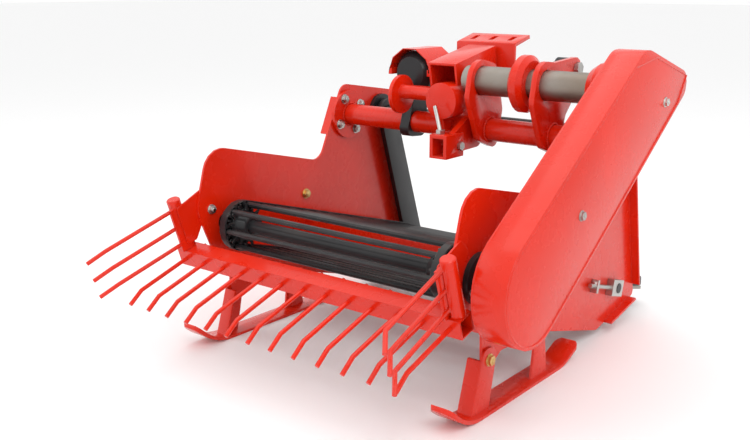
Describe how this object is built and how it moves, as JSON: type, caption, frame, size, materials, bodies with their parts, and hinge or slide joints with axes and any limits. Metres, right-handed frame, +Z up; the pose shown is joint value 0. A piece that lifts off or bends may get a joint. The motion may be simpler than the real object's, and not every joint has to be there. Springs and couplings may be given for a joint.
{
  "type": "potato digger",
  "caption": "Compact-tractor potato digger: side plates, rod elevator, share on legs, skids, tined rear grate, side chain case, box-beam hitch and a power take-off stub.",
  "frame": {"origin": "on the floor, under the middle of the machine's bounding box", "axes": "+Z up, +Y the way the machine travels, towards the tractor; +X to the right seen from behind"},
  "size_m": [0.7915, 1.1997, 0.6273],
  "materials": {
    "red_paint": "gloss powder coat, orange-red",
    "black_paint": "semi-gloss black",
    "bare_steel": "bare steel, lightly oiled",
    "zinc_steel": "zinc plated",
    "black_plastic": "matte black"
  },
  "bodies": {
    "frame": {"adjuster_arm": "red_paint", "adjuster_clevis": "red_paint", "adjuster_screw": "zinc_steel", "case_back": "red_paint", "case_upper_bearing": "red_paint", "chain_case": "red_paint", "clevis_pin": "zinc_steel", "cross_tube": "red_paint", "drive_shaft": "black_paint", "drive_tube": "bare_steel", "elevator_web": "black_paint", "front_cross_member": "red_paint", "front_roller": "black_paint", "gearbox": "black_paint", "grate_bar": "red_paint", "hitch_beam": "red_paint", "hitch_bracket": "red_paint", "left_grate_post": "red_paint", "left_grate_wing": "red_paint", "left_rocker_bearing": "black_paint", "left_shaft_bearing": "black_paint", "left_side_plate": "red_paint", "left_skid": "red_paint", "left_skid_bracket": "red_paint", "left_tensioner": "zinc_steel", "link_bolt": "zinc_steel", "link_bush": "black_plastic", "lug_1": "red_paint", "lug_2": "red_paint", "pto_bell": "black_plastic", "pto_hood": "red_paint", "rear_cross_member": "red_paint", "right_grate_post": "red_paint", "right_grate_wing": "red_paint", "right_rocker_bearing": "black_paint", "right_shaft_bearing": "black_paint", "right_side_plate": "red_paint", "right_skid": "red_paint", "right_skid_bracket": "red_paint", "right_tensioner": "zinc_steel", "tube_collar": "red_paint"},
    "share": {"rocker_shaft": "black_paint", "left_share_leg": "black_paint", "right_share_leg": "black_paint", "share_blade": "bare_steel"},
    "pto": {"pto_stub": "bare_steel"}
  },
  "joints": [
    {"name": "share_swing", "type": "hinge", "parent": "frame", "child": "share", "pos_m": [-0.034, 0.23546, 0.43286], "axis": [1, 0, 0], "range_deg": [-2.5, 2.5]},
    {"name": "pto_spin", "type": "hinge", "parent": "frame", "child": "pto", "pos_m": [-0.152, 0.19763, 0.545], "axis": [0, 1, 0], "continuous": true}
  ]
}
